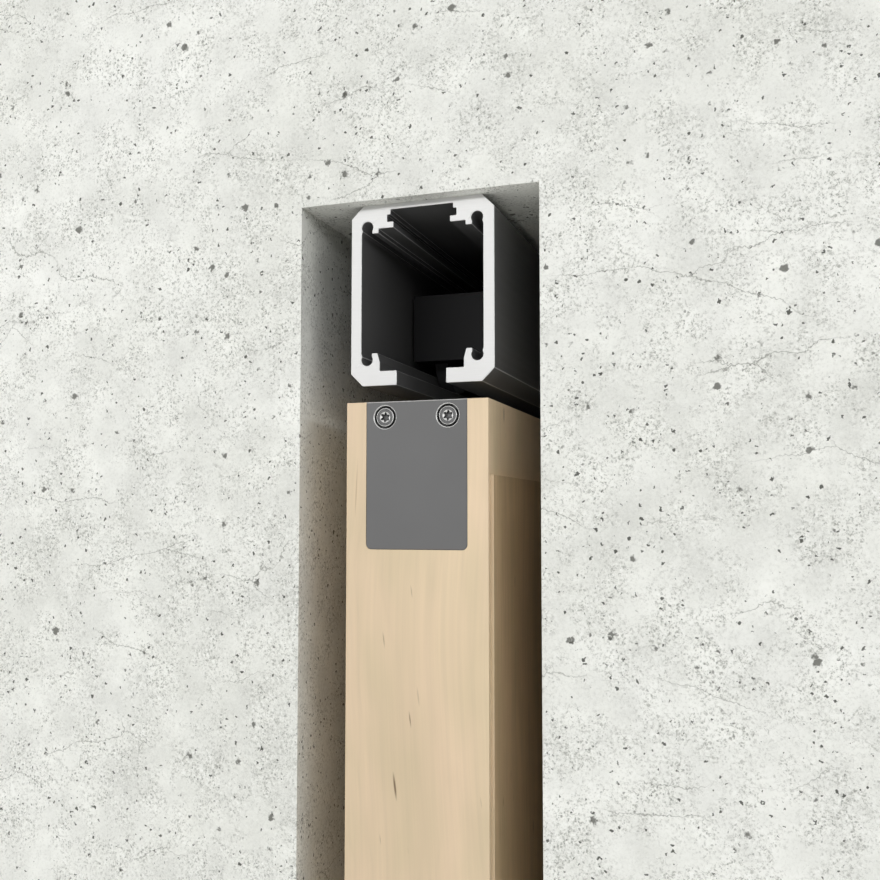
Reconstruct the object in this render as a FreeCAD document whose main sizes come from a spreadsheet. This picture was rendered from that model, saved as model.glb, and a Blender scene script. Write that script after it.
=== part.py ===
"""Pocket door frame: a concrete pocket wall with a sliding door on an aluminium top track.

Millimetres. +X runs across the wall, +Y along the track from the pocket to the strike jamb, +Z up.
The origin is on the floor, under the middle of the frame.
"""
import FreeCAD, Part
import math
import os
import Sketcher
from types import SimpleNamespace

DIMENSIONS = {
    # concrete frame
    "wall_thickness": 300.0,
    "slot_width": 68.0,
    "pocket_margin": 4.5,
    "door_lap": 35.0,
    "closing_gap": 5.0,
    "jamb_length": 200.0,
    "strike_depth": 20.0,
    "lintel_height": 236.0,
    "apron_overlap": 10.0,
    # track profile
    "track_width": 41.3,
    "track_height": 50.6,
    "track_wall": 3.0,
    "track_chamfer": 3.5,
    "track_recess": 4.4,
    "lip_thickness": 4.0,
    "mouth_width": 14.3,
    "crown_thickness": 1.6,
    "crown_groove_width": 18.2,
    "crown_groove_depth": 1.4,
    "tee_slot_width": 20.2,
    "tee_slot_depth": 2.1,
    "tee_lip_thickness": 1.6,
    "tee_throat_width": 16.5,
    "port_diameter": 3.4,
    "port_mouth": 2.9,
    "port_side": 1.75,
    "port_drop": 6.2,
    "port_rise": 7.3,
    "upper_hook_thickness": 1.8,
    "upper_hook_reach": 1.75,
    "lower_hook_thickness": 1.6,
    "lower_hook_reach": 1.75,
    "lower_hook_foot": 0.7,
    "lower_hook_knee": 2.5,
    # door leaf
    "door_width": 900.0,
    "door_height": 2100.0,
    "door_thickness": 40.0,
    "door_recess": 0.5,
    "floor_gap": 8.0,
    "head_gap": 5.0,
    "stile_width": 130.0,
    "top_rail_height": 110.0,
    "bottom_rail_height": 160.0,
    "skin_thickness": 0.85,
    "skin_margin": 2.0,
    "skin_top_margin": 20.0,
    # hangers in the top corners of the leaf
    "hanger_width": 28.6,
    "hanger_height": 39.7,
    "hanger_length": 112.0,
    "hanger_corner": 1.5,
    "hanger_lip": 7.5,
    "hanger_throat": 11.0,
    "hanger_cavity_width": 19.0,
    "hanger_cavity_height": 8.5,
    "hanger_web": 3.0,
    "plate_thickness": 3.0,
    "screw_spacing": 17.8,
    "screw_drop": 4.2,
    "screw_head_diameter": 5.4,
    "screw_head_height": 1.9,
    "screw_shank": 3.0,
    "screw_length": 12.0,
    "screw_seat_diameter": 6.2,
    "screw_seat_depth": 2.0,
    # trolleys
    "trolley_setback": 38.0,
    "trolley_length": 90.0,
    "trolley_width": 32.0,
    "trolley_height": 20.6,
    "trolley_edge": 0.5,
    "wheel_diameter": 24.0,
    "wheel_width": 4.2,
    "wheel_base": 52.0,
    "wheel_clearance": 0.3,
    "wheel_room": 1.0,
    "axle_diameter": 4.0,
    "axle_length": 30.0,
    "axle_clearance": 0.1,
    "bolt_diameter": 10.0,
    "bolt_clearance": 0.1,
    "bolt_in_trolley": 16.0,
    "bolt_head_diameter": 17.0,
    "bolt_head_height": 6.0,
    "nut_across_flats": 17.0,
    "nut_height": 5.0,
    "trolley_rise": 12.4,
    # floor guide
    "guide_length": 60.0,
    "guide_base": 3.0,
    "guide_fin": 5.0,
    "guide_fin_height": 22.0,
    "guide_groove_width": 9.0,
    "guide_groove_depth": 20.0,
}


class Size:
    """A length, with the sheet formula that gives it."""

    def __init__(self, value, formula):
        self.value = value
        self.formula = formula

    def join(self, sign, other, value):
        return Size(value, f"({self.formula} {sign} {other.formula})")

    def __add__(self, other):
        other = as_size(other)
        return self.join("+", other, self.value + other.value)

    def __sub__(self, other):
        other = as_size(other)
        return self.join("-", other, self.value - other.value)

    def __mul__(self, other):
        other = as_size(other)
        return self.join("*", other, self.value * other.value)

    def __truediv__(self, other):
        other = as_size(other)
        return self.join("/", other, self.value / other.value)

    def __neg__(self):
        return Size(-self.value, f"(-1 * {self.formula})")


def as_size(number):
    return number if isinstance(number, Size) else Size(number, str(number))


def root(size):
    return Size(math.sqrt(size.value), f"sqrt({size.formula})")


doc = FreeCAD.newDocument("pocket_door_frame")
sheet = doc.addObject("Spreadsheet::Sheet", "dims")
for row, (alias, number) in enumerate(DIMENSIONS.items(), start=1):
    sheet.set(f"A{row}", alias)
    sheet.set(f"B{row}", str(number))
    sheet.setAlias(f"B{row}", alias)
doc.recompute()
dim = SimpleNamespace(**{name: Size(number, f"dims.{name}") for name, number in DIMENSIONS.items()})
ZERO = as_size(0)


# Places that several pieces share
pocket_length = dim.door_recess + dim.door_width + dim.pocket_margin
strike_reach = dim.strike_depth - dim.closing_gap
doorway_width = dim.door_width - dim.door_lap - strike_reach
frame_length = pocket_length + doorway_width + dim.jamb_length
front = -(frame_length / 2)
pocket_end = front + pocket_length
doorway_end = pocket_end + doorway_width
back = doorway_end + dim.jamb_length
strike_bottom = doorway_end + dim.strike_depth

door_bottom = dim.floor_gap
door_top = door_bottom + dim.door_height
track_bottom = door_top + dim.head_gap
ceiling = track_bottom + dim.track_height
soffit = door_top - dim.apron_overlap
frame_top = ceiling + dim.lintel_height

half_wall = dim.wall_thickness / 2
half_slot = dim.slot_width / 2
half_door = dim.door_thickness / 2
rear_edge = front + dim.door_recess
lead_edge = rear_edge + dim.door_width

trolley_inset = dim.track_recess + dim.trolley_setback - dim.door_recess + dim.trolley_length / 2
wheel_rise = dim.lip_thickness + dim.wheel_clearance + dim.wheel_diameter / 2
wheel_offset = dim.mouth_width / 2 + dim.wheel_clearance + dim.wheel_width / 2

parts = []


def keep(piece, label):
    piece.Label = label
    parts.append(piece)
    return piece


def bind(piece, name, size):
    piece.setExpression(name, as_size(size).formula)


def box(label, x_range, y_range, z_range):
    """A plain block between pairs of coordinates."""
    block = doc.addObject("Part::Box", label)
    block.Label = label
    for axis, side, (low, high) in zip("xyz", ("Length", "Width", "Height"), (x_range, y_range, z_range)):
        bind(block, side, as_size(high) - low)
        bind(block, f"Placement.Base.{axis}", low)
    return block


def cut(label, base, tool):
    result = doc.addObject("Part::Cut", label)
    result.Base = base
    result.Tool = tool
    return result


def origin_plane(body, role):
    return next(item for item in body.Origin.OriginFeatures if item.Role == role)


def place_point(sketch, geometry, point, position):
    """Holds one point of a sketch at a pair of sizes measured from its origin."""
    for kind, axis, size in zip(("DistanceX", "DistanceY"), (-2, -1), position):
        if abs(size.value) < 1e-9:
            sketch.addConstraint(Sketcher.Constraint("PointOnObject", geometry, point, axis))
            continue
        ends = (-1, 1, geometry, point)
        if size.value < 0:
            ends = (geometry, point, -1, 1)
            size = -size
        index = sketch.addConstraint(Sketcher.Constraint(kind, *ends, size.value))
        sketch.setExpression(f"Constraints[{index}]", size.formula)


def new_sketch(body, name, plane):
    sketch = body.newObject("Sketcher::SketchObject", name)
    sketch.AttachmentSupport = [(origin_plane(body, plane), "")]
    sketch.MapMode = "FlatFace"
    return sketch


def outline(sketch, corners, rounds=None):
    """Adds a closed outline; a side listed in rounds is an arc (centre, radius, turn)."""
    rounds = rounds or {}
    corners = [(as_size(u), as_size(v)) for u, v in corners]
    count = len(corners)
    ends = []
    for index, corner in enumerate(corners):
        start = FreeCAD.Vector(corner[0].value, corner[1].value, 0)
        following = corners[(index + 1) % count]
        finish = FreeCAD.Vector(following[0].value, following[1].value, 0)
        if index not in rounds:
            ends.append((sketch.addGeometry(Part.LineSegment(start, finish)), 1, 2))
            continue
        centre, radius, turn = rounds[index]
        middle = FreeCAD.Vector(centre[0].value, centre[1].value, 0)
        circle = Part.Circle(middle, FreeCAD.Vector(0, 0, 1), radius.value)
        angles = [math.atan2(p.y - middle.y, p.x - middle.x) for p in (start, finish)]
        if turn == "left":
            ends.append((sketch.addGeometry(Part.ArcOfCircle(circle, angles[0], angles[1])), 1, 2))
        else:
            ends.append((sketch.addGeometry(Part.ArcOfCircle(circle, angles[1], angles[0])), 2, 1))
    for index in range(count):
        geometry, start_point, end_point = ends[index]
        next_geometry, next_start, next_end = ends[(index + 1) % count]
        joint = Sketcher.Constraint("Coincident", geometry, end_point, next_geometry, next_start)
        sketch.addConstraint(joint)
        place_point(sketch, geometry, start_point, corners[index])
        if index in rounds:
            radius = rounds[index][1]
            fixed = sketch.addConstraint(Sketcher.Constraint("Radius", geometry, radius.value))
            sketch.setExpression(f"Constraints[{fixed}]", radius.formula)


def ring(sketch, centre, diameter):
    """Adds a circle held by its centre and diameter."""
    centre = (as_size(centre[0]), as_size(centre[1]))
    middle = FreeCAD.Vector(centre[0].value, centre[1].value, 0)
    circle = Part.Circle(middle, FreeCAD.Vector(0, 0, 1), diameter.value / 2)
    geometry = sketch.addGeometry(circle)
    place_point(sketch, geometry, 3, centre)
    fixed = sketch.addConstraint(Sketcher.Constraint("Diameter", geometry, diameter.value))
    sketch.setExpression(f"Constraints[{fixed}]", diameter.formula)


def rectangle(sketch, u_range, v_range):
    (left, right), (low, high) = u_range, v_range
    outline(sketch, [(left, low), (right, low), (right, high), (left, high)])


def new_body(label):
    return doc.addObject("PartDesign::Body", label)


def pad(body, sketch, length, reverse=False):
    feature = body.newObject("PartDesign::Pad", sketch.Name + "_pad")
    feature.Profile = sketch
    feature.Reversed = reverse
    bind(feature, "Length", length)
    return feature


def pocket(body, sketch, depth=None, reverse=False):
    """Cuts a sketch into the body, right through where no depth is given."""
    feature = body.newObject("PartDesign::Pocket", sketch.Name + "_pocket")
    feature.Profile = sketch
    feature.Reversed = reverse
    if depth is None:
        feature.Type = "ThroughAll"
        feature.Midplane = True
    else:
        bind(feature, "Length", depth)
    return feature


def mirror(body, features, role):
    feature = body.newObject("PartDesign::Mirrored", body.Name + "_mirror")
    feature.Originals = features
    feature.MirrorPlane = (origin_plane(body, role), [""])
    body.Tip = feature
    return feature


def seat(piece, y_place, z_place, turned=False):
    """Puts a piece on the middle plane of the wall, turned about for the leading end."""
    if turned:
        piece.Placement.Rotation = FreeCAD.Rotation(FreeCAD.Vector(0, 0, 1), 180)
    bind(piece, "Placement.Base.y", y_place)
    bind(piece, "Placement.Base.z", z_place)


# Concrete frame
def concrete_frame():
    pocket_run = (front, pocket_end)
    doorway_run = (pocket_end, doorway_end)
    for side, outer, inner in (("left", -half_wall, -half_slot), ("right", half_slot, half_wall)):
        wall = box(f"pocket_wall_{side}", (outer, inner), pocket_run, (ZERO, ceiling))
        apron = box(f"lintel_apron_{side}", (outer, inner), doorway_run, (soffit, ceiling))
        parts.extend((wall, apron))
    parts.append(box("lintel", (-half_wall, half_wall), (front, back), (ceiling, frame_top)))
    block = box("jamb_block", (-half_wall, half_wall), (doorway_end, back), (ZERO, ceiling))
    groove = box("jamb_groove", (-half_slot, half_slot), (doorway_end, strike_bottom), (ZERO, ceiling))
    keep(cut("strike_jamb", block, groove), "strike_jamb")


# Track
def track_corners():
    """Right half of the profile, from the running lip round to the middle of the crown."""
    edge = dim.track_width / 2
    wall_face = edge - dim.track_wall
    crown = dim.track_height - dim.crown_thickness
    groove = crown - dim.crown_groove_depth
    tee = groove - dim.tee_slot_depth
    tee_under = tee - dim.tee_lip_thickness

    port_radius = dim.port_diameter / 2
    port_x = wall_face - dim.port_side
    port_half = dim.port_mouth / 2
    port_reach = root(port_radius * port_radius - port_half * port_half)
    high_port = dim.track_height - dim.port_drop
    low_port = dim.port_rise
    hook_face = port_x - port_half
    upper_hook = high_port - dim.upper_hook_reach
    lower_hook = low_port + dim.lower_hook_reach
    lower_hook_side = hook_face - dim.lower_hook_thickness
    lower_hook_foot = lower_hook_side - dim.lower_hook_foot
    knee = lower_hook - dim.lower_hook_knee

    corners = [
        (dim.mouth_width / 2, ZERO),
        (edge - dim.track_chamfer, ZERO),
        (edge, dim.track_chamfer),
        (edge, dim.track_height - dim.track_chamfer),
        (edge - dim.track_chamfer, dim.track_height),
        (ZERO, dim.track_height),
        (ZERO, crown),
        (dim.crown_groove_width / 2, crown),
        (dim.crown_groove_width / 2, groove),
        (dim.tee_slot_width / 2, groove),
        (dim.tee_slot_width / 2, tee),
        (dim.tee_throat_width / 2, tee),
        (dim.tee_throat_width / 2, tee_under),
        (hook_face - dim.upper_hook_thickness, tee_under),
        (hook_face - dim.upper_hook_thickness, upper_hook),
        (hook_face, upper_hook),
        (hook_face, high_port - port_reach),
        (port_x + port_half, high_port - port_reach),
        (wall_face, upper_hook),
        (wall_face, lower_hook),
        (port_x + port_half, low_port + port_reach),
        (hook_face, low_port + port_reach),
        (hook_face, lower_hook),
        (lower_hook_side, lower_hook),
        (lower_hook_foot, knee),
        (lower_hook_foot, dim.lip_thickness),
        (dim.mouth_width / 2, dim.lip_thickness),
    ]
    rounds = {
        16: ((port_x, high_port), port_radius, "right"),
        20: ((port_x, low_port), port_radius, "right"),
    }
    return corners, rounds


def track():
    body = new_body("track")
    profile = new_sketch(body, "track_profile", "XZ_Plane")
    corners, rounds = track_corners()
    outline(profile, corners, rounds)
    run = pad(body, profile, strike_bottom - front - dim.track_recess, reverse=True)
    mirror(body, [run], "YZ_Plane")
    seat(body, front + dim.track_recess, track_bottom)
    keep(body, "track")


# Floor guide
def floor_guide():
    body = new_body("floor_guide")
    profile = new_sketch(body, "guide_profile", "XZ_Plane")
    half_fin = dim.guide_fin / 2
    corners = [
        (ZERO, ZERO),
        (half_slot, ZERO),
        (half_slot, dim.guide_base),
        (half_fin, dim.guide_base),
        (half_fin, dim.guide_fin_height),
        (ZERO, dim.guide_fin_height),
    ]
    outline(profile, corners)
    run = pad(body, profile, dim.guide_length, reverse=True)
    mirror(body, [run], "YZ_Plane")
    seat(body, pocket_end - dim.guide_length, ZERO)
    keep(body, "floor_guide")


# Door leaf
def hanger_corners(height_from=ZERO):
    """Outline shared by the mortise, the channel and the cover plate, with round lower corners."""
    half = dim.hanger_width / 2
    corner = dim.hanger_corner
    low = height_from
    high = height_from + dim.hanger_height
    corners = [
        (-half + corner, low),
        (half - corner, low),
        (half, low + corner),
        (half, high),
        (-half, high),
        (-half, low + corner),
    ]
    rounds = {
        1: ((half - corner, low + corner), corner, "left"),
        5: ((-half + corner, low + corner), corner, "left"),
    }
    return corners, rounds


def door_stile(end, edge, turned):
    body = new_body(f"door_stile_{end}")
    section = new_sketch(body, f"stile_section_{end}", "XY_Plane")
    rectangle(section, (-half_door, half_door), (ZERO, dim.stile_width))
    pad(body, section, dim.door_height)
    groove = new_sketch(body, f"stile_groove_{end}", "XZ_Plane")
    half_groove = dim.guide_groove_width / 2
    rectangle(groove, (-half_groove, half_groove), (ZERO, dim.guide_groove_depth))
    pocket(body, groove)
    mortise = new_sketch(body, f"stile_mortise_{end}", "XZ_Plane")
    outline(mortise, *hanger_corners(dim.door_height - dim.hanger_height))
    pocket(body, mortise, dim.plate_thickness + dim.hanger_length)
    seat(body, edge, door_bottom, turned)
    keep(body, f"door_stile_{end}")


def door_rails():
    rail_run = (rear_edge + dim.stile_width, lead_edge - dim.stile_width)
    across = (-half_door, half_door)
    low_rail_top = door_bottom + dim.bottom_rail_height
    top_rail_bottom = door_top - dim.top_rail_height
    parts.append(box("door_top_rail", across, rail_run, (top_rail_bottom, door_top)))
    parts.append(box("door_core", across, rail_run, (low_rail_top, top_rail_bottom)))
    rail = box("bottom_rail_block", across, rail_run, (door_bottom, low_rail_top))
    half_groove = dim.guide_groove_width / 2
    groove_top = door_bottom + dim.guide_groove_depth
    groove = box("bottom_rail_groove", (-half_groove, half_groove), rail_run, (door_bottom, groove_top))
    keep(cut("door_bottom_rail", rail, groove), "door_bottom_rail")


def door_skins():
    run = (rear_edge + dim.skin_margin, lead_edge - dim.skin_margin)
    rise = (door_bottom + dim.skin_margin, door_top - dim.skin_top_margin)
    outer = half_door + dim.skin_thickness
    parts.append(box("door_skin_left", (-outer, -half_door), run, rise))
    parts.append(box("door_skin_right", (half_door, outer), run, rise))


# Hangers
def hanger_channel(end, edge, turned):
    body = new_body(f"hanger_channel_{end}")
    profile = new_sketch(body, f"channel_profile_{end}", "XZ_Plane")
    outline(profile, *hanger_corners())
    pad(body, profile, dim.hanger_length, reverse=True)

    cavity_top = dim.hanger_height - dim.hanger_lip
    cavity_bottom = cavity_top - dim.hanger_cavity_height
    half_throat = dim.hanger_throat / 2
    half_cavity = dim.hanger_cavity_width / 2
    slot = new_sketch(body, f"channel_slot_{end}", "XZ_Plane")
    outline(slot, [
        (-half_throat, dim.hanger_height),
        (-half_throat, cavity_top),
        (-half_cavity, cavity_top),
        (-half_cavity, cavity_bottom),
        (half_cavity, cavity_bottom),
        (half_cavity, cavity_top),
        (half_throat, cavity_top),
        (half_throat, dim.hanger_height),
    ])
    pocket(body, slot)

    half_hollow = dim.hanger_width / 2 - dim.hanger_web
    hollow = new_sketch(body, f"channel_hollow_{end}", "XZ_Plane")
    rectangle(hollow, (-half_hollow, half_hollow), (dim.hanger_web, cavity_bottom - dim.hanger_web))
    pocket(body, hollow)

    holes = new_sketch(body, f"channel_holes_{end}", "XZ_Plane")
    for side in (-1, 1):
        ring(holes, screw_centre(side), dim.screw_shank)
    pocket(body, holes, dim.screw_length)
    inset = edge - dim.plate_thickness if turned else edge + dim.plate_thickness
    seat(body, inset, door_top - dim.hanger_height, turned)
    keep(body, f"hanger_channel_{end}")


def screw_centre(side):
    return dim.screw_spacing / 2 * side, dim.hanger_height - dim.screw_drop


def hanger_plate(end, edge, turned):
    body = new_body(f"hanger_plate_{end}")
    profile = new_sketch(body, f"plate_profile_{end}", "XZ_Plane")
    outline(profile, *hanger_corners())
    pad(body, profile, dim.plate_thickness, reverse=True)
    seats = new_sketch(body, f"plate_seats_{end}", "XZ_Plane")
    holes = new_sketch(body, f"plate_holes_{end}", "XZ_Plane")
    for side in (-1, 1):
        ring(seats, screw_centre(side), dim.screw_seat_diameter)
        ring(holes, screw_centre(side), dim.screw_shank)
    pocket(body, seats, dim.screw_seat_depth)
    pocket(body, holes)
    seat(body, edge, door_top - dim.hanger_height, turned)
    keep(body, f"hanger_plate_{end}")


def plate_screws(end, edge, turned):
    body = new_body(f"plate_screws_{end}")
    heads = new_sketch(body, f"screw_heads_{end}", "XZ_Plane")
    shanks = new_sketch(body, f"screw_shanks_{end}", "XZ_Plane")
    for side in (-1, 1):
        ring(heads, screw_centre(side), dim.screw_head_diameter)
        ring(shanks, screw_centre(side), dim.screw_shank)
    pad(body, heads, dim.screw_head_height, reverse=True)
    reach = dim.plate_thickness - dim.screw_seat_depth + dim.screw_head_height + dim.screw_length
    pad(body, shanks, reach, reverse=True)
    sunk = dim.screw_seat_depth - dim.screw_head_height
    inset = edge - sunk if turned else edge + sunk
    seat(body, inset, door_top - dim.hanger_height, turned)
    keep(body, f"plate_screws_{end}")


# Trolleys
def trolley(end, middle):
    body = new_body(f"trolley_{end}")
    half_length = dim.trolley_length / 2
    half_width = dim.trolley_width / 2
    top = dim.trolley_rise + dim.trolley_height
    plan = new_sketch(body, f"trolley_section_{end}", "XZ_Plane")
    edge = dim.trolley_edge
    outline(plan, [
        (-half_width + edge, dim.trolley_rise),
        (half_width - edge, dim.trolley_rise),
        (half_width, dim.trolley_rise + edge),
        (half_width, top - edge),
        (half_width - edge, top),
        (-half_width + edge, top),
        (-half_width, top - edge),
        (-half_width, dim.trolley_rise + edge),
    ], {
        1: ((half_width - edge, dim.trolley_rise + edge), edge, "left"),
        3: ((half_width - edge, top - edge), edge, "left"),
        5: ((-half_width + edge, top - edge), edge, "left"),
        7: ((-half_width + edge, dim.trolley_rise + edge), edge, "left"),
    })
    block = pad(body, plan, dim.trolley_length)
    block.Midplane = True

    half_base = dim.wheel_base / 2
    half_gap = dim.wheel_diameter / 2 + dim.wheel_room
    half_slit = dim.wheel_width / 2 + dim.wheel_room / 2
    gaps = new_sketch(body, f"trolley_wheel_gaps_{end}", "XY_Plane")
    for side in (-1, 1):
        centre = wheel_offset * side
        for way in (-1, 1):
            station = half_base * way
            rectangle(gaps, (centre - half_slit, centre + half_slit), (station - half_gap, station + half_gap))
    pocket(body, gaps, wheel_rise + half_gap, reverse=True)

    bores = new_sketch(body, f"trolley_axle_bores_{end}", "YZ_Plane")
    for way in (-1, 1):
        ring(bores, (half_base * way, wheel_rise), dim.axle_diameter + dim.axle_clearance)
    pocket(body, bores)

    stem = new_sketch(body, f"trolley_bolt_bore_{end}", "XY_Plane")
    ring(stem, (ZERO, ZERO), dim.bolt_diameter + dim.bolt_clearance)
    pocket(body, stem, dim.trolley_rise + dim.bolt_in_trolley, reverse=True)
    seat(body, middle, track_bottom)
    keep(body, f"trolley_{end}")


def trolley_wheels(end, middle):
    """Four wheels: a left and a right one are turned together, then repeated at the second axle."""
    body = new_body(f"trolley_wheels_{end}")
    section = new_sketch(body, f"wheel_section_{end}", "XY_Plane")
    bore = dim.axle_diameter / 2 + dim.axle_clearance
    radius = dim.wheel_diameter / 2
    for side in (-1, 1):
        low = wheel_offset * side - dim.wheel_width / 2
        high = wheel_offset * side + dim.wheel_width / 2
        rectangle(section, (low, high), (bore, radius))
    wheels = body.newObject("PartDesign::Revolution", f"wheel_turn_{end}")
    wheels.Profile = section
    wheels.ReferenceAxis = (section, ["H_Axis"])
    repeat = body.newObject("PartDesign::LinearPattern", f"wheel_repeat_{end}")
    repeat.Originals = [wheels]
    repeat.Direction = (origin_plane(body, "Y_Axis"), [""])
    repeat.Occurrences = 2
    bind(repeat, "Length", dim.wheel_base)
    body.Tip = repeat
    seat(body, middle - dim.wheel_base / 2, track_bottom + wheel_rise)
    keep(body, f"trolley_wheels_{end}")


def trolley_axles(end, middle):
    body = new_body(f"trolley_axles_{end}")
    section = new_sketch(body, f"axle_section_{end}", "YZ_Plane")
    for way in (-1, 1):
        ring(section, (dim.wheel_base / 2 * way, ZERO), dim.axle_diameter)
    pins = pad(body, section, dim.axle_length)
    pins.Midplane = True
    seat(body, middle, track_bottom + wheel_rise)
    keep(body, f"trolley_axles_{end}")


def hanger_bolt(end, middle):
    """Turned bolt: the shank runs up into the trolley, the head hangs in the channel."""
    body = new_body(f"hanger_bolt_{end}")
    section = new_sketch(body, f"bolt_section_{end}", "XZ_Plane")
    shank = dim.bolt_diameter / 2
    head = dim.bolt_head_diameter / 2
    shank_top = dim.trolley_rise + dim.bolt_in_trolley
    head_top = -(dim.head_gap + dim.hanger_lip)
    head_bottom = head_top - dim.bolt_head_height
    outline(section, [
        (ZERO, head_bottom),
        (head, head_bottom),
        (head, head_top),
        (shank, head_top),
        (shank, shank_top),
        (ZERO, shank_top),
    ])
    turned = body.newObject("PartDesign::Revolution", f"bolt_turn_{end}")
    turned.Profile = section
    turned.ReferenceAxis = (section, ["V_Axis"])
    seat(body, middle, track_bottom)
    keep(body, f"hanger_bolt_{end}")


def lock_nut(end, middle):
    body = new_body(f"lock_nut_{end}")
    section = new_sketch(body, f"nut_section_{end}", "XY_Plane")
    flat = dim.nut_across_flats / 2
    corner = dim.nut_across_flats / root(as_size(3))
    outline(section, [
        (corner, ZERO),
        (corner / 2, flat),
        (-(corner / 2), flat),
        (-corner, ZERO),
        (-(corner / 2), -flat),
        (corner / 2, -flat),
    ])
    ring(section, (ZERO, ZERO), dim.bolt_diameter + dim.bolt_clearance)
    pad(body, section, dim.nut_height)
    seat(body, middle, track_bottom + dim.trolley_rise - dim.nut_height)
    keep(body, f"lock_nut_{end}")


doc.recompute()
concrete_frame()
track()
floor_guide()
door_rails()
door_skins()
for end_name, end_edge, is_turned in (("rear", rear_edge, False), ("lead", lead_edge, True)):
    door_stile(end_name, end_edge, is_turned)
    hanger_channel(end_name, end_edge, is_turned)
    hanger_plate(end_name, end_edge, is_turned)
    plate_screws(end_name, end_edge, is_turned)
    trolley_middle = end_edge - trolley_inset if is_turned else end_edge + trolley_inset
    trolley(end_name, trolley_middle)
    trolley_wheels(end_name, trolley_middle)
    trolley_axles(end_name, trolley_middle)
    hanger_bolt(end_name, trolley_middle)
    lock_nut(end_name, trolley_middle)
doc.recompute()

for item in doc.Objects:
    if {"Invalid", "Error"} & set(item.State):
        raise RuntimeError(f"{item.Label} did not build: {item.State}")
os.makedirs("parts", exist_ok=True)
for piece in parts:
    shape = piece.Shape
    if shape.isNull() or not shape.isValid():
        raise RuntimeError(f"{piece.Label} has no valid shape")
    shape.exportStep(os.path.join("parts", piece.Label + ".step"))
    bounds = shape.BoundBox
    print(piece.Label, len(shape.Solids), round(shape.Volume), bounds)
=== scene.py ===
import math

import bmesh
import bpy
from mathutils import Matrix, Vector


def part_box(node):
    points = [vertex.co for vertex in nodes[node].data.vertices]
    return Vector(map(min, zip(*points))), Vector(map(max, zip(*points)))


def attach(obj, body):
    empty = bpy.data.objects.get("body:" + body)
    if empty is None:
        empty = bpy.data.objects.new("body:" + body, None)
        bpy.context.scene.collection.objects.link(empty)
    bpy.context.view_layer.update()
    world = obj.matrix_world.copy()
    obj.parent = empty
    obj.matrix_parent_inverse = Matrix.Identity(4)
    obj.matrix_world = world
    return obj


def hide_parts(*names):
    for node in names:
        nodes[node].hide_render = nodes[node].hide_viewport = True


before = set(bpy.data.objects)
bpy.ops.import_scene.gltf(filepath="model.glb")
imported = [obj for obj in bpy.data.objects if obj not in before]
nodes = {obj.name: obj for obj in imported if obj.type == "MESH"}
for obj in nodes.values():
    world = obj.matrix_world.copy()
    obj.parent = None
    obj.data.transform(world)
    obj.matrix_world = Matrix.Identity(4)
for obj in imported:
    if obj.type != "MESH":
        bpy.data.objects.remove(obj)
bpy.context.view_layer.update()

MM = 0.001
ENDS = {"rear": -1, "lead": 1}
SIDES = {"left": -1, "right": 1}
WHITE = (1.0, 1.0, 1.0, 1.0)
ZONES = {"Head": 0, "Edge": 1, "Recess": 2}
HEAD, EDGE, RECESS = ZONES.values()

# Bare metal at the track's sawn ends, the bolts' thread and the eased edges, in millimetres.
BARE_EDGE = 0.22
BARE_FADE = 0.02
THREAD_PITCH = 1.5
STILE_BEVEL = 0.3
TRACK_BEVEL = 0.2
BEVELLED_ANGLE = math.radians(40)

# The cover plates and their screws, in millimetres.
PLATE_CORNER = 1.5
CORNER_STEPS = 6
PLATE_CHAMFER = 0.2
SEAT_RIM_RADIUS = 3.3
SEAT_RADIUS = 3.1
SEAT_DEPTH = 2.0
BORE_RADIUS = 1.6
CIRCLE_POINTS = 40
PLATE_SCREWS_ASIDE = (-8.9, 8.9)
PLATE_SCREW_DROP = 4.2
PLATE_SCREW_SUNK = 0.1

# The screws of the track and the floor guide, in millimetres.
TRACK_SCREW_COUNT = 6
TRACK_SCREW_FIRST = 150
TRACK_SCREW_SPACING = 290
TRACK_SCREW_DROP = 4.0
GUIDE_SCREWS_ASIDE = (-9.5, 9.5)
GUIDE_SCREWS_ALONG = (15, 45)
GUIDE_SCREW_RISE = 4.2

# Turns that point a screw's head each way, and how far its recess may be turned.
FACING_FRONT = (0.0, 0.0, 0.0)
FACING_BACK = (0.0, 0.0, math.pi)
FACING_DOWN = (math.pi / 2, 0.0, 0.0)
FACING_UP = (-math.pi / 2, 0.0, 0.0)
MOST_TURN = math.radians(7)

# The strength of the surroundings, as a light and as they are seen.
AMBIENT = 0.23
BACKDROP = 0.78

# Half the floor's side in metres, and where it starts and ends to fade, in millimetres.
FLOOR_HALF = 60.0
FADE_FROM = 1500.0
FADE_TO = 9000.0

# The front strips' turns in degrees and powers in watts, and their arc before the front, in metres.
FRONT_STRIPS = ((-66, 48.0), (-22, 54.0), (22, 22.0), (66, 29.0))
ARC_RADIUS = 3.6
ARC_HEIGHT = 3.05
FRONT = -0.98


def screen_colour(red, green, blue):
    """A colour as it looks on a screen, turned into the linear light that a shader takes."""
    light = []
    for part in (red, green, blue):
        part = part / 255
        light.append(part / 12.92 if part <= 0.04045 else ((part + 0.055) / 1.055) ** 2.4)
    return (*light, 1.0)


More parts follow.
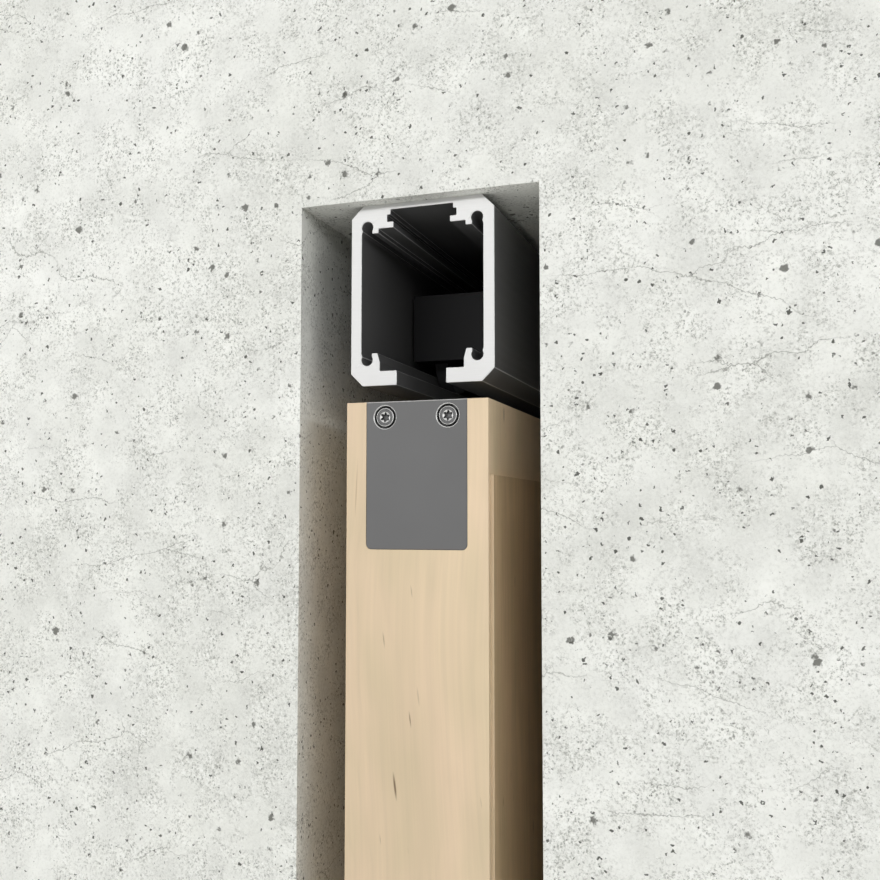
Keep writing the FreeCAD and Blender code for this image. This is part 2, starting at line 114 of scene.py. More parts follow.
class Finish:
    """A procedural finish, drawn in millimetres along the part's own axes."""

    def __init__(self, name, roughness=0.5, metal=0.0, specular=0.5):
        self.material = bpy.data.materials.new(name)
        self.material.use_nodes = True
        self.tree = self.material.node_tree
        self.shader = self.tree.nodes["Principled BSDF"]
        self.shader.inputs["Roughness"].default_value = roughness
        self.shader.inputs["Metallic"].default_value = metal
        self.shader.inputs["Specular IOR Level"].default_value = specular
        coordinates = self.tree.nodes.new("ShaderNodeTexCoord")
        self.mm = self.stretched(coordinates.outputs["Object"], (1000, 1000, 1000))

    def join(self, socket, value):
        if isinstance(value, bpy.types.NodeSocket):
            self.tree.links.new(value, socket)
        else:
            socket.default_value = value

    def node(self, kind, inputs, **settings):
        made = self.tree.nodes.new(kind)
        for name, value in settings.items():
            setattr(made, name, value)
        for key, value in inputs.items():
            self.join(made.inputs[key], value)
        return made

    def vectors(self, operation, first, second):
        return self.node("ShaderNodeVectorMath", {0: first, 1: second}, operation=operation)

    def stretched(self, vector, factors):
        return self.vectors("MULTIPLY", vector, factors).outputs["Vector"]

    def moved(self, vector, offset):
        return self.vectors("ADD", vector, offset).outputs["Vector"]

    def length(self, vector):
        return self.vectors("LENGTH", vector, (0.0, 0.0, 0.0)).outputs["Value"]

    def noise(self, vector, scale, detail=2.0, roughness=0.5):
        inputs = {"Vector": vector, "Scale": scale, "Detail": detail, "Roughness": roughness}
        return self.node("ShaderNodeTexNoise", inputs).outputs[0]

    def push(self, vector, scale):
        """A smooth random direction at each point, up to about half a unit long on each axis."""
        inputs = {"Vector": vector, "Scale": scale, "Detail": 1.0}
        shares = self.node("ShaderNodeTexNoise", inputs).outputs["Color"]
        return self.moved(shares, (-0.5, -0.5, -0.5))

    def pushed(self, vector, push, reach):
        return self.moved(vector, self.stretched(push, (reach, reach, reach)))

    def wobble(self, vector, scale, reach):
        return self.pushed(vector, self.push(vector, scale), reach)

    def sums(self, operation, first, second=0.0):
        return self.node("ShaderNodeMath", {0: first, 1: second}, operation=operation).outputs[0]

    def times(self, first, second):
        return self.sums("MULTIPLY", first, second)

    def level(self, value, low, high, to_low=0.0, to_high=1.0):
        inputs = {
            "Value": value,
            "From Min": low,
            "From Max": high,
            "To Min": to_low,
            "To Max": to_high,
        }
        return self.node("ShaderNodeMapRange", inputs).outputs["Result"]

    def mixed(self, factor, first, second, kind="MIX"):
        inputs = {0: factor, 6: first, 7: second}
        return self.node("ShaderNodeMix", inputs, data_type="RGBA", blend_type=kind).outputs[2]

    def shaded(self, colour, brightness):
        return self.mixed(1.0, colour, brightness, "MULTIPLY")

    def spots(self, vector, cell, share, largest, edge, few_large=1.0):
        """Round spots in a share of the cells, with a soft edge. A power keeps large ones few."""
        cells = self.node("ShaderNodeTexVoronoi", {"Vector": vector, "Scale": 1 / cell})
        lot = self.node("ShaderNodeSeparateColor", {0: cells.outputs["Color"]}).outputs[0]
        size = self.sums("POWER", self.level(lot, 1 - share, 1.0), few_large)
        radius = self.times(size, largest / cell)
        inside = self.sums("SUBTRACT", radius, cells.outputs["Distance"])
        return self.level(inside, 0.0, edge / cell)

    def cracks(self, vector, cell, half_width):
        """Hairlines of one width all along, between cells of about this size on each axis."""
        shrink = tuple(1 / side for side in cell)
        place = self.stretched(vector, shrink)
        inputs = {"Vector": place, "Scale": 1.0}
        nearest = self.node("ShaderNodeTexVoronoi", inputs, feature="F1").outputs["Position"]
        second = self.node("ShaderNodeTexVoronoi", inputs, feature="F2").outputs["Position"]
        across = self.vectors("SUBTRACT", second, nearest).outputs["Vector"]
        middle = self.stretched(self.moved(second, nearest), (0.5, 0.5, 0.5))
        offset = self.vectors("SUBTRACT", place, middle).outputs["Vector"]
        beside = self.vectors("DOT_PRODUCT", offset, across).outputs["Value"]
        steepness = self.length(self.stretched(across, shrink))
        distance = self.sums("ABSOLUTE", self.sums("DIVIDE", beside, steepness))
        return self.level(distance, 0.0, half_width, 1.0, 0.0)

    def colour(self, value):
        self.join(self.shader.inputs["Base Color"], value)

    def roughness(self, value):
        self.join(self.shader.inputs["Roughness"], value)

    def relief(self, height, strength):
        """Raises the surface by a height in millimetres."""
        inputs = {"Height": height, "Distance": MM, "Strength": strength}
        bump = self.node("ShaderNodeBump", inputs)
        self.join(self.shader.inputs["Normal"], bump.outputs["Normal"])


def cast_concrete():
    """Pale cast concrete: flaky and specked in clusters, with hairline cracks, and dark spots for
    pits whose darkness is painted shade.
    """
    finish = Finish("cast_concrete", roughness=0.9, specular=0.0)
    push = finish.push(finish.mm, 1.1)
    ragged = finish.pushed(finish.mm, push, reach=1.0)
    torn = finish.pushed(finish.mm, push, reach=1.7)

    clouds = finish.noise(finish.mm, 1 / 160, detail=5.0, roughness=0.75)
    pale = screen_colour(251, 252, 247)
    dull = screen_colour(228, 229, 222)
    colour = finish.mixed(finish.level(clouds, 0.34, 0.68), pale, dull)
    stains = finish.noise(finish.mm, 1 / 16, roughness=0.6)
    colour = finish.shaded(colour, finish.level(stains, 0.3, 0.7, 0.87, 1.03))

    clusters = finish.noise(finish.mm, 1 / 9, detail=3.0, roughness=0.65)

    def clustered(marks, least, most):
        """The marks at their least strength between the clusters and at their most within them."""
        return finish.times(marks, finish.level(clusters, 0.39, 0.63, least, most))

    mottle = finish.noise(ragged, 1.4, roughness=0.8)
    flakes = clustered(finish.level(mottle, 0.33, 0.49, 1.0, 0.0), 0.16, 0.9)
    colour = finish.mixed(flakes, colour, screen_colour(162, 163, 156))
    chalk = clustered(finish.level(mottle, 0.54, 0.68), 0.25, 0.8)
    colour = finish.mixed(chalk, colour, screen_colour(253, 254, 250))
    dust = finish.spots(ragged, cell=0.9, share=0.9, largest=0.42, edge=0.2)
    dust = clustered(dust, 0.08, 0.75)
    colour = finish.mixed(dust, colour, screen_colour(128, 129, 122))

    specks = finish.spots(torn, cell=1.6, share=0.52, largest=0.52, edge=0.1, few_large=1.5)
    specks = finish.times(specks, 0.92)
    colour = finish.mixed(specks, colour, screen_colour(74, 75, 69))
    # Dark spots for the concrete's pits: their darkness is painted shade, as the surface has no
    # holes there.
    pit_shade = finish.spots(torn, cell=5.2, share=0.6, largest=1.35, edge=0.35, few_large=2.0)
    pit_shade = finish.times(pit_shade, 0.85)
    colour = finish.mixed(pit_shade, colour, screen_colour(94, 94, 88))

    bent = finish.pushed(finish.wobble(finish.mm, 1 / 12, reach=8.0), push, reach=1.4)
    lines = finish.cracks(bent, cell=(75.0, 75.0, 21.0), half_width=0.18)
    broken = finish.noise(finish.stretched(finish.mm, (0.4, 0.4, 1.0)), 1 / 14, detail=1.0)
    lines = finish.times(lines, finish.level(broken, 0.505, 0.62, 0.0, 0.75))
    colour = finish.mixed(lines, colour, screen_colour(116, 116, 108))

    finish.colour(colour)
    finish.relief(finish.noise(finish.mm, 0.6, detail=0.0), strength=0.12)
    return finish.material


def pale_wood(name, along, tint=WHITE, figure=1.0):
    """Pale close-grained wood, its grain along z or y. A larger figure makes its streaks darker."""
    finish = Finish(name, roughness=0.55, specular=0.3)

    def drawn(vector, share):
        """The vector drawn out along the grain, to this share of its length."""
        return finish.stretched(vector, (1.0, 1.0, share) if along == "z" else (1.0, share, 1.0))

    bent = finish.wobble(finish.mm, 1 / 130, reach=12.0)
    blush = finish.noise(drawn(bent, 0.35), 0.07, roughness=0.6)
    rose = screen_colour(232, 208, 177)
    straw = screen_colour(223, 203, 170)
    colour = finish.mixed(finish.level(blush, 0.36, 0.64), straw, rose)
    colour = finish.shaded(colour, tint)

    # A slow tone, moved along z so that, near the door's top, the wood turns darker lower down.
    raised = finish.moved(drawn(finish.mm, 0.6), (0.0, 0.0, 190.0))
    slow = finish.noise(raised, 1 / 90, detail=0.0)
    colour = finish.shaded(colour, finish.level(slow, 0.4, 0.6, 1 - 0.1 / figure, 1.015))

    broad = finish.noise(drawn(bent, 0.12), 0.13)
    colour = finish.shaded(colour, finish.level(broad, 0.32, 0.68, 1 - 0.035 * figure, 1.025))

    streaks = finish.noise(drawn(bent, 0.012), 0.8, detail=3.0, roughness=0.7)
    colour = finish.shaded(colour, finish.level(streaks, 0.3, 0.7, 1 - 0.045 * figure, 1.025))

    flame = finish.noise(drawn(finish.wobble(bent, 1 / 30, reach=7.0), 0.07), 0.1, detail=0.0)
    flame = finish.sums("PINGPONG", finish.times(flame, 6.0), 0.5)
    colour = finish.shaded(colour, finish.level(flame, 0.0, 0.2, 0.975, 1.0))

    fissures = finish.spots(drawn(bent, 0.02), cell=3.2, share=0.5, largest=0.3, edge=0.15)
    colour = finish.mixed(finish.times(fissures, 0.35), colour, screen_colour(150, 122, 92))

    fleck_slant = 0.13
    inputs = {"Vector": finish.mm, "Angle": fleck_slant, "Axis": (0.0, 1.0, 0.0)}
    tilted = finish.node("ShaderNodeVectorRotate", inputs).outputs[0]
    raised = finish.moved(finish.mm, (0.0, 0.0, 31.0))
    gathered = finish.noise(drawn(raised, 0.5), 1 / 40, detail=1.0)
    flecks = finish.spots(drawn(tilted, 0.1), cell=2.4, share=0.7, largest=0.45, edge=0.22)
    flecks = finish.times(flecks, finish.level(gathered, 0.42, 0.54, 0.0, 0.85))
    colour = finish.mixed(flecks, colour, screen_colour(98, 74, 52))

    finish.colour(colour)
    finish.relief(finish.times(streaks, 0.03), strength=0.6)
    return finish.material


def sawn_aluminium():
    """The bright sawn ends of the track, with fine marks of the blade."""
    finish = Finish("sawn_aluminium", roughness=0.5, specular=0.3)
    marks = finish.noise(finish.stretched(finish.mm, (0.12, 1.0, 3.2)), 1.0, detail=3.0)
    brightness = finish.level(marks, 0.3, 0.7, 0.98, 1.01)
    finish.colour(finish.shaded(screen_colour(233, 233, 232), brightness))
    finish.relief(finish.times(marks, 0.01), strength=0.5)
    return finish.material


def black_anodised(name, tone, first_end, last_end):
    """Black anodised aluminium, drawn along its length, with bare metal at its sawn edges."""
    finish = Finish(name, roughness=0.45, specular=0.6)
    drawn = finish.noise(finish.stretched(finish.mm, (0.7, 0.003, 0.7)), 1.0)
    brightness = finish.level(drawn, 0.3, 0.7, 0.95, 1.05)
    black = finish.shaded(screen_colour(tone, tone, tone), brightness)

    along = finish.node("ShaderNodeSeparateXYZ", {0: finish.mm}).outputs["Y"]
    middle = (first_end + last_end) / 2
    half = (last_end - first_end) / 2
    from_middle = finish.sums("ABSOLUTE", finish.sums("SUBTRACT", along, middle))
    bare = finish.level(from_middle, half - BARE_EDGE - BARE_FADE, half - BARE_EDGE)
    finish.colour(finish.mixed(bare, black, screen_colour(246, 246, 245)))
    finish.roughness(finish.level(drawn, 0.3, 0.7, 0.42, 0.48))
    return finish.material


def fine_plastic(name, colour, roughness, specular=0.4):
    """Moulded plastic or paint with a very fine even texture."""
    finish = Finish(name, roughness=roughness, specular=specular)
    grain = finish.noise(finish.mm, 5.0)
    cloud = finish.noise(finish.mm, 0.06)
    fine = finish.level(grain, 0.3, 0.7, 0.96, 1.04)
    broad = finish.level(cloud, 0.3, 0.7, 0.97, 1.03)
    finish.colour(finish.shaded(colour, finish.times(fine, broad)))
    finish.relief(finish.times(grain, 0.02), strength=0.5)
    return finish.material


def bright_steel(name, colour, roughness, drawn=(2.0, 2.0, 2.0), metal=1.0):
    """Plated steel with faint tool marks. Less metal in the shader gives a matt, brushed look."""
    finish = Finish(name, metal=metal, roughness=roughness)
    marks = finish.noise(finish.stretched(finish.mm, drawn), 1.0, detail=3.0)
    finish.colour(finish.shaded(colour, finish.level(marks, 0.3, 0.7, 0.9, 1.05)))
    finish.roughness(finish.level(marks, 0.3, 0.7, roughness - 0.06, roughness + 0.08))
    return finish.material


def threaded_steel():
    """Plated steel with a rolled thread. A wave of scale 1 repeats each tenth of pi."""
    finish = Finish("threaded_steel", metal=1.0, roughness=0.36)
    inputs = {"Vector": finish.mm, "Scale": math.pi / 10 / THREAD_PITCH, "Distortion": 0.0}
    thread = finish.node("ShaderNodeTexWave", inputs, bands_direction="Z").outputs["Fac"]
    root = screen_colour(120, 121, 124)
    crest = screen_colour(190, 191, 194)
    finish.colour(finish.mixed(thread, root, crest))
    finish.relief(finish.times(thread, 0.5), strength=0.8)
    return finish.material


def seen_directly(tree):
    """One for rays from the camera, also by reflection or through glass, and nought for light."""
    path = tree.nodes.new("ShaderNodeLightPath")
    seen = path.outputs["Is Camera Ray"]
    for kind in ("Is Glossy Ray", "Is Transmission Ray"):
        either = tree.nodes.new("ShaderNodeMath")
        either.operation = "MAXIMUM"
        tree.links.new(seen, either.inputs[0])
        tree.links.new(path.outputs[kind], either.inputs[1])
        seen = either.outputs[0]
    return seen


def plain_floor():
    """A pale floor that fades into the backdrop away from the object."""
    finish = Finish("plain_floor", roughness=0.8, specular=0.2)
    tone = finish.noise(finish.mm, 1 / 400, detail=3.0)
    brightness = finish.level(tone, 0.3, 0.7, 0.98, 1.01)
    finish.colour(finish.shaded(screen_colour(208, 207, 204), brightness))
    fade = finish.level(finish.length(finish.mm), FADE_FROM, FADE_TO, 0.15, 1.0)
    fade = finish.times(fade, seen_directly(finish.tree))
    backdrop = finish.node("ShaderNodeEmission", {"Color": WHITE, "Strength": BACKDROP})
    inputs = {0: fade, 1: finish.shader.outputs[0], 2: backdrop.outputs[0]}
    surface = finish.node("ShaderNodeMixShader", inputs)
    result = finish.tree.nodes["Material Output"]
    finish.join(result.inputs["Surface"], surface.outputs[0])
    return finish.material


track_low, track_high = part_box("track")
track_ends = (track_low.y / MM, track_high.y / MM)
drawn_along = (2.0, 0.02, 2.0)

concrete = cast_concrete()
stile_wood = pale_wood("stile_wood", "z")
rail_wood = pale_wood("rail_wood", "y")
# The door's faces: the same wood tinted darker and warmer, as painted shade and warm bounced light
# from the narrow gaps beside the door.
painted_shade_skin_wood = pale_wood("painted_shade_skin_wood", "z", tint=(0.82, 0.76, 0.675, 1.0), figure=3.0)
# The stiles' eased edges: the same wood made lighter, as a painted highlight along the edges.
painted_highlight_wood = pale_wood("painted_highlight_wood", "z", tint=(1.05, 1.05, 1.05, 1.0))
cut_metal = sawn_aluminium()
black_metal = black_anodised("black_anodised", 90, *track_ends)
# A lighter anodising on the track's bevels, as a painted sheen along its edges.
edge_sheen_metal = black_anodised("painted_edge_sheen", 180, *track_ends)
plate_paint = fine_plastic("plate_paint", screen_colour(101, 101, 101), 0.55)
# A pale finish for the plate's top chamfer, as a painted highlight.
plate_top_highlight = fine_plastic("plate_top_highlight", screen_colour(205, 205, 202), 0.5)
trolley_plastic = fine_plastic("trolley_plastic", screen_colour(24, 24, 25), 0.6, specular=0.15)
wheel_plastic = fine_plastic("wheel_plastic", screen_colour(58, 58, 60), 0.38)
channel_metal = bright_steel("channel_metal", screen_colour(176, 177, 178), 0.4, drawn_along)
guide_metal = bright_steel("guide_metal", screen_colour(170, 171, 172), 0.42, drawn_along)
screw_metal = bright_steel("screw_metal", screen_colour(76, 76, 76), 0.42, metal=0.6)
axle_metal = bright_steel("axle_metal", screen_colour(182, 183, 185), 0.26)
# A pale, half-metal finish for the screw seats' rims and the screws' edge facets and rings, as a
# painted glint.
painted_glint_metal = bright_steel("painted_glint_metal", screen_colour(228, 228, 226), 0.4, metal=0.4)
recess_metal = bright_steel("recess_metal", screen_colour(74, 74, 74), 0.45)
bolt_metal = threaded_steel()


def dress(names, *materials):
    for name in names:
        mesh = nodes[name].data
        mesh.materials.clear()
        for material in materials:
            mesh.materials.append(material)


def both_ends(name):
    return [f"{name}_{end}" for end in ENDS]


def both_sides(name):
    return [f"{name}_{side}" for side in SIDES]


dress(both_sides("pocket_wall") + both_sides("lintel_apron") + ["lintel", "strike_jamb"], concrete)
dress(["track"], black_metal, cut_metal, edge_sheen_metal)
for face in nodes["track"].data.polygons:
    face.material_index = 1 if abs(face.normal.y) > 0.9 else 0
dress(["floor_guide"], guide_metal)
dress(both_ends("door_stile"), stile_wood, painted_highlight_wood)
dress(["door_top_rail", "door_bottom_rail", "door_core"], rail_wood)
dress(both_sides("door_skin"), painted_shade_skin_wood, stile_wood)
for skin in both_sides("door_skin"):
    for face in nodes[skin].data.polygons:
        face.material_index = 1 if abs(face.normal.x) < 0.1 else 0
dress(both_ends("hanger_channel"), channel_metal)
dress(both_ends("trolley"), trolley_plastic)
dress(both_ends("trolley_wheels"), wheel_plastic)
dress(both_ends("trolley_axles"), axle_metal)
dress(both_ends("hanger_bolt"), bolt_metal)
dress(both_ends("lock_nut"), axle_metal)


def eased_edges(node, width, segments, material_index):
    """Small bevels along a piece's edges. Its faces are joined first, so that they share edges."""
    weld = nodes[node].modifiers.new("joined_faces", "WELD")
    weld.merge_threshold = 0.01 * MM
    bevel = nodes[node].modifiers.new("eased_edges", "BEVEL")
    bevel.width = width * MM
    bevel.segments = segments
    bevel.limit_method = "ANGLE"
    bevel.angle_limit = BEVELLED_ANGLE
    bevel.material = material_index


def circle(centre_x, centre_z, radius, depth):
    points = []
    for step in range(CIRCLE_POINTS):
        angle = math.tau * step / CIRCLE_POINTS
        x = centre_x + radius * math.cos(angle)
        z = centre_z + radius * math.sin(angle)
        points.append((x, z, depth))
    return points


def loop_edges(loop):
    edges = []
    for vert, following in zip(loop, loop[1:] + loop[:1]):
        shared = [edge for edge in vert.link_edges if edge.other_vert(vert) is following]
        edges.extend(shared)
    return edges


def band(mesh, first, second, material_index=0):
    """A closed band of faces between two loops of as many points."""
    count = len(first)
    faces = []
    for step in range(count):
        following = (step + 1) % count
        face = mesh.faces.new((first[step], first[following], second[following], second[step]))
        face.material_index = material_index
        faces.append(face)
    return faces


def mesh_data(name, mesh):
    """The mesh's data, with its faces pointing out."""
    bmesh.ops.recalc_face_normals(mesh, faces=mesh.faces)
    data = bpy.data.meshes.new(name)
    mesh.to_mesh(data)
    mesh.free()
    return data


def placed(name, data):
    """An object at the origin, in the scene."""
    piece = bpy.data.objects.new(name, data)
    bpy.context.scene.collection.objects.link(piece)
    return piece


def finished(name, mesh, materials):
    """An object in the scene from a mesh, with these materials."""
    data = mesh_data(name, mesh)
    for material in materials:
        data.materials.append(material)
    return placed(name, data)


def plate_outline(half, top, bottom, inset, depth):
    """The plate's outline, square at the top and round at the two lower corners."""
    points = [(half - inset, top - inset, depth), (inset - half, top - inset, depth)]
    reach = PLATE_CORNER - inset
    for centre_x, start in ((PLATE_CORNER - half, math.pi), (half - PLATE_CORNER, 1.5 * math.pi)):
        for step in range(CORNER_STEPS + 1):
            angle = start + 0.5 * math.pi * step / CORNER_STEPS
            x = centre_x + reach * math.cos(angle)
            z = bottom + PLATE_CORNER + reach * math.sin(angle)
            points.append((x, z, depth))
    return points


def cover_plate(end):
    """The grey cover plate, with a bright rim round each screw seat and a pale top chamfer, both
    painted highlights.
    """
    low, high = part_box(f"hanger_plate_{end}")
    outward = ENDS[end]
    face = low.y if outward < 0 else high.y
    half = high.x / MM
    top = high.z / MM
    bottom = low.z / MM
    thickness = (high.y - low.y) / MM
    mesh = bmesh.new()

    def loop(points):
        made = []
        for x, z, depth in points:
            made.append(mesh.verts.new((x * MM, face - outward * depth * MM, z * MM)))
        for vert, following in zip(made, made[1:] + made[:1]):
            mesh.edges.new((vert, following))
        return made

    front = loop(plate_outline(half, top, bottom, inset=PLATE_CHAMFER, depth=0.0))
    side = loop(plate_outline(half, top, bottom, inset=0.0, depth=PLATE_CHAMFER))
    back = loop(plate_outline(half, top, bottom, inset=0.0, depth=thickness))
    chamfers = band(mesh, front, side)
    # The top chamfer takes the pale finish, as a painted highlight.
    chamfers[0].material_index = 2
    band(mesh, side, back)
    front_edges = loop_edges(front)
    back_edges = loop_edges(back)
    for x in PLATE_SCREWS_ASIDE:
        z = top - PLATE_SCREW_DROP
        rim = loop(circle(x, z, SEAT_RIM_RADIUS, 0.0))
        seat = loop(circle(x, z, SEAT_RADIUS, PLATE_CHAMFER))
        seat_floor = loop(circle(x, z, SEAT_RADIUS, SEAT_DEPTH))
        bore = loop(circle(x, z, BORE_RADIUS, SEAT_DEPTH))
        bore_end = loop(circle(x, z, BORE_RADIUS, thickness))
        # The seat's rim takes the pale finish, as a painted glint.
        band(mesh, rim, seat, 1)
        band(mesh, seat, seat_floor)
        band(mesh, seat_floor, bore)
        band(mesh, bore, bore_end)
        front_edges += loop_edges(rim)
        back_edges += loop_edges(bore_end)
    bmesh.ops.triangle_fill(mesh, use_beauty=True, edges=front_edges)
    bmesh.ops.triangle_fill(mesh, use_beauty=True, edges=back_edges)
    piece = finished(f"cover_plate_{end}", mesh, [plate_paint, painted_glint_metal, plate_top_highlight])
    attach(piece, "door")
    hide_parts(f"hanger_plate_{end}")


def six_lobe_screw(name, radius, height, shank_radius, shank_length):
    """A flat-headed screw with a six-lobe recess. It faces -Y, with its face at the origin."""
    count = 72
    drawn_radius = 2.62
    scale = radius / drawn_radius
    rim = 1.5 * scale
    slope = 0.75
    lobes = 0.23
    mesh = bmesh.new()
    zones = mesh.faces.layers.int.new("zone")

    def ring(reach, depth, lobes=0.0, countersunk=False):
        """A ring of points, pushed out six times round by lobes. Countersunk, it lies on a cone."""
        made = []
        for step in range(count):
            angle = math.tau * step / count
            out = reach * (1 - lobes * math.cos(6 * angle))
            down = (rim - out) * slope if countersunk else depth
            point = Vector((out * math.cos(angle), down, out * math.sin(angle)))
            made.append(mesh.verts.new(point * MM))
        return made

    # The Edge rings, the recess's chamfer facets and a thin ring near the head's rim, take a pale
    # finish as a painted glint.
    rings = [
        (ring(0.5 * scale, 1.25 * scale), RECESS),
        (ring(1.1 * scale, 1.1 * scale, lobes), RECESS),
        (ring(1.17 * scale, 0.0, lobes, countersunk=True), EDGE),
        (ring(rim, 0.0), HEAD),
        (ring(2.2 * scale, 0.0), HEAD),
        (ring(2.34 * scale, -0.05 * scale), EDGE),
        (ring(2.5 * scale, 0.06 * scale), HEAD),
        (ring(radius, 0.3 * scale), HEAD),
        (ring(radius, height), HEAD),
        (ring(shank_radius, height), HEAD),
        (ring(shank_radius, height + shank_length), HEAD),
    ]
    for (first, zone), (second, _) in zip(rings, rings[1:]):
        for face in band(mesh, first, second):
            face[zones] = zone
    mesh.faces.new(rings[0][0])[zones] = RECESS
    mesh.faces.new(rings[-1][0])
    return bpy.data.objects.new(name, mesh_data(name, mesh))


def screw_setter():
    """A tree that sets one screw at each point, each with its recess turned a little."""
    tree = bpy.data.node_groups.new("screw_setter", "GeometryNodeTree")
    sockets = tree.interface
    sockets.new_socket("Places", in_out="INPUT", socket_type="NodeSocketGeometry")
    sockets.new_socket("Screw", in_out="INPUT", socket_type="NodeSocketObject")
    sockets.new_socket("Facing", in_out="INPUT", socket_type="NodeSocketRotation")
    sockets.new_socket("Most turn", in_out="INPUT", socket_type="NodeSocketFloat")
    sockets.new_socket("Seed", in_out="INPUT", socket_type="NodeSocketInt")
    for part in ZONES:
        sockets.new_socket(f"{part} finish", in_out="INPUT", socket_type="NodeSocketMaterial")
    sockets.new_socket("Screws", in_out="OUTPUT", socket_type="NodeSocketGeometry")
    add = tree.nodes.new
    link = tree.links.new
    given = add("NodeGroupInput")
    screw = add("GeometryNodeObjectInfo")
    screw.transform_space = "ORIGINAL"
    link(given.outputs["Screw"], screw.inputs["Object"])
    copies = add("GeometryNodeInstanceOnPoints")
    link(given.outputs["Places"], copies.inputs["Points"])
    link(screw.outputs["Geometry"], copies.inputs["Instance"])
    link(given.outputs["Facing"], copies.inputs["Rotation"])
    least = add("ShaderNodeMath")
    least.operation = "MULTIPLY"
    least.inputs[1].default_value = -1.0
    link(given.outputs["Most turn"], least.inputs[0])
    turn = add("FunctionNodeRandomValue")
    turn.data_type = "FLOAT"
    link(least.outputs[0], turn.inputs[2])
    link(given.outputs["Most turn"], turn.inputs[3])
    link(given.outputs["Seed"], turn.inputs["Seed"])
    axis = add("ShaderNodeCombineXYZ")
    link(turn.outputs[1], axis.inputs["Y"])
    turned = add("GeometryNodeRotateInstances")
    link(copies.outputs["Instances"], turned.inputs["Instances"])
    link(axis.outputs["Vector"], turned.inputs["Rotation"])
    solid = add("GeometryNodeRealizeInstances")
    link(turned.outputs["Instances"], solid.inputs["Geometry"])
    zone = add("GeometryNodeInputNamedAttribute")
    zone.data_type = "INT"
    zone.inputs["Name"].default_value = "zone"
    geometry = solid.outputs["Geometry"]
    for part, number in ZONES.items():
        chosen = add("FunctionNodeCompare")
        chosen.data_type = "INT"
        chosen.operation = "EQUAL"
        link(zone.outputs["Attribute"], chosen.inputs[2])
        chosen.inputs[3].default_value = number
        painted = add("GeometryNodeSetMaterial")
        link(geometry, painted.inputs["Geometry"])
        link(chosen.outputs["Result"], painted.inputs["Selection"])
        link(given.outputs[f"{part} finish"], painted.inputs["Material"])
        geometry = painted.outputs["Geometry"]
    result = add("NodeGroupOutput")
    link(geometry, result.inputs["Screws"])
    return tree


SCREW_SETTER = screw_setter()


def set_screws(name, body, places, screw, facing, seed):
    """The screws at these places, as one plain mesh that rides on the body."""
    data = bpy.data.meshes.new(f"{name}_places")
    data.from_pydata(places, [], [])
    holder = placed(f"{name}_places", data)
    modifier = holder.modifiers.new("screws", "NODES")
    modifier.node_group = SCREW_SETTER
    # The edge finish is pale, a painted glint on each screw.
    given = {
        "Screw": screw,
        "Facing": facing,
        "Most turn": MOST_TURN,
        "Seed": seed,
        "Head finish": screw_metal,
        "Edge finish": painted_glint_metal,
        "Recess finish": recess_metal,
    }
    for socket in SCREW_SETTER.interface.items_tree:
        if socket.in_out == "INPUT" and socket.name in given:
            modifier[socket.identifier] = given[socket.name]
    graph = bpy.context.evaluated_depsgraph_get()
    made = bpy.data.meshes.new_from_object(holder.evaluated_get(graph))
    made.name = name
    bpy.data.objects.remove(holder)
    piece = placed(name, made)
    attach(piece, body)
    return piece


# The stiles' bevels take the lighter wood, as a painted highlight along their edges.
for end in ENDS:
    cover_plate(end)
    eased_edges(f"door_stile_{end}", STILE_BEVEL, segments=2, material_index=1)
# The track's bevels take the lighter anodising, as a painted sheen along its edges.
eased_edges("track", TRACK_BEVEL, segments=1, material_index=2)

plate_screw = six_lobe_screw("plate_screw", 2.56, 1.9, shank_radius=1.5, shank_length=10.0)
for end, outward in ENDS.items():
    low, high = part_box(f"hanger_plate_{end}")
    face = low.y if outward < 0 else high.y
    sunk = face - outward * PLATE_SCREW_SUNK * MM
    places = [(x * MM, sunk, high.z - PLATE_SCREW_DROP * MM) for x in PLATE_SCREWS_ASIDE]
    facing = FACING_FRONT if outward < 0 else FACING_BACK
    screws = set_screws(f"cover_screws_{end}", "door", places, plate_screw, facing, seed=3)
    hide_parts(f"plate_screws_{end}")

track_screw = six_lobe_screw("track_screw", 4.2, 2.4, shank_radius=2.0, shank_length=1.0)
track_places = []
for step in range(TRACK_SCREW_COUNT):
    along = (TRACK_SCREW_FIRST + TRACK_SCREW_SPACING * step) * MM
    track_places.append((0.0, track_low.y + along, track_high.z - TRACK_SCREW_DROP * MM))
set_screws("track_screws", "frame", track_places, track_screw, FACING_DOWN, seed=5)

guide_low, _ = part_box("floor_guide")
guide_screw = six_lobe_screw("guide_screw", 2.9, 1.2, shank_radius=1.5, shank_length=1.0)
guide_places = []
for x in GUIDE_SCREWS_ASIDE:
    for along in GUIDE_SCREWS_ALONG:
        guide_places.append((x * MM, guide_low.y + along * MM, guide_low.z + GUIDE_SCREW_RISE * MM))
set_screws("guide_screws", "frame", guide_places, guide_screw, FACING_UP, seed=7)

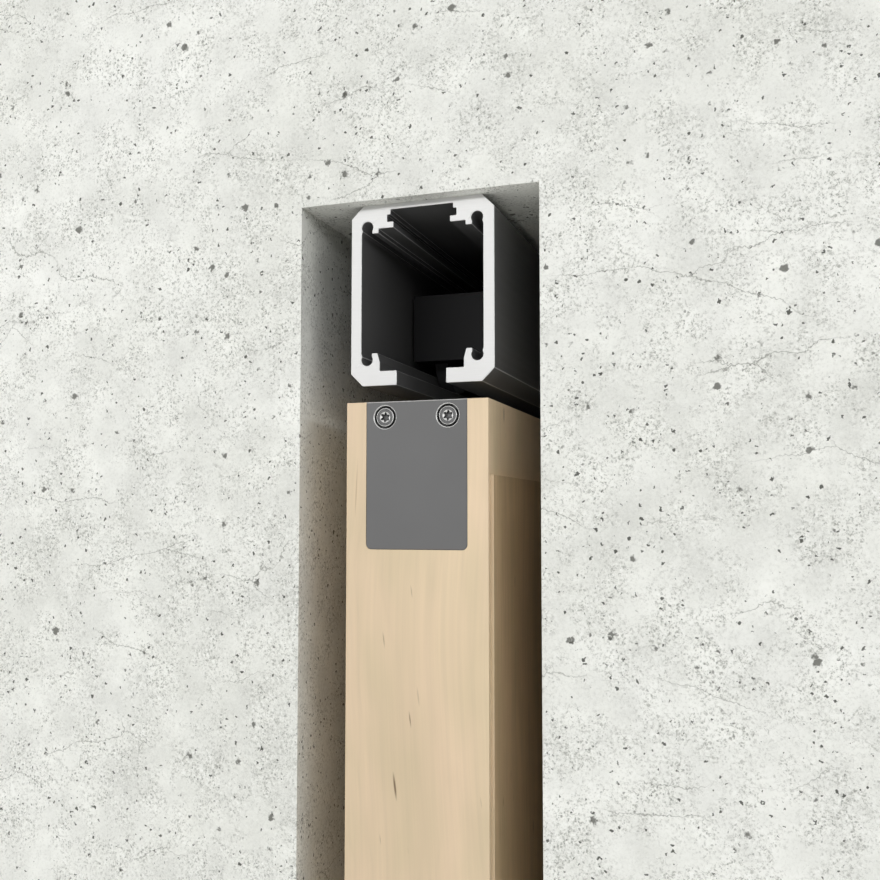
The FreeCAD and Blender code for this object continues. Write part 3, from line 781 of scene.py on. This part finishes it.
floor_mesh = bmesh.new()
bmesh.ops.create_grid(floor_mesh, x_segments=2, y_segments=2, size=FLOOR_HALF)
floor = finished("floor", floor_mesh, [plain_floor()])


def strip_light(name, place, target, width, height, power):
    light = bpy.data.lights.new(name, "AREA")
    light.shape = "RECTANGLE"
    light.size = width
    light.size_y = height
    light.energy = power
    lamp = placed(name, light)
    lamp.location = place
    lamp.rotation_euler = (Vector(target) - Vector(place)).to_track_quat("-Z", "Y").to_euler()


for step, (turn, power) in enumerate(FRONT_STRIPS):
    around = math.radians(turn)
    x = ARC_RADIUS * math.sin(around)
    y = FRONT - ARC_RADIUS * math.cos(around)
    strip_light(f"front_strip_{step}", (x, y, ARC_HEIGHT), (0.0, FRONT, 2.1), 2.7, 0.4, power)
strip_light("low_fill", (0.0, -1.55, 0.1), (0.0, -1.1, 2.1), 2.6, 0.4, power=4.0)
strip_light("back_strip", (-1.2, 5.0, 3.2), (0.0, 0.98, 1.6), 5.0, 1.2, power=90.0)
strip_light("top_light", (0.0, 0.6, 5.2), (0.0, 0.6, 2.4), 2.0, 2.0, power=34.0)
for side, sign in SIDES.items():
    strip_light(f"side_strip_{side}", (sign * 4.2, 0.4, 3.0), (0.0, 0.2, 1.2), 4.0, 1.2, power=45.0)

world = bpy.data.worlds.new("studio")
bpy.context.scene.world = world
world.use_nodes = True
sky = world.node_tree.nodes["Background"]
sky.inputs["Color"].default_value = WHITE
strength = world.node_tree.nodes.new("ShaderNodeMapRange")
strength.inputs["To Min"].default_value = AMBIENT
strength.inputs["To Max"].default_value = BACKDROP
world.node_tree.links.new(seen_directly(world.node_tree), strength.inputs["Value"])
world.node_tree.links.new(strength.outputs["Result"], sky.inputs["Strength"])

camera_data = bpy.data.cameras.new("camera")
camera_data.sensor_width = 36.0
camera_data.lens = 40.91
camera_data.shift_y = 0.02
camera_data.clip_start = 0.01
camera = placed("camera", camera_data)
camera.location = (0.0913, -1.2262, 2.0766)
camera.rotation_euler = (math.radians(93.48), 0.0, math.radians(18.74))
bpy.context.scene.camera = camera
bpy.context.scene.view_settings.view_transform = "Standard"
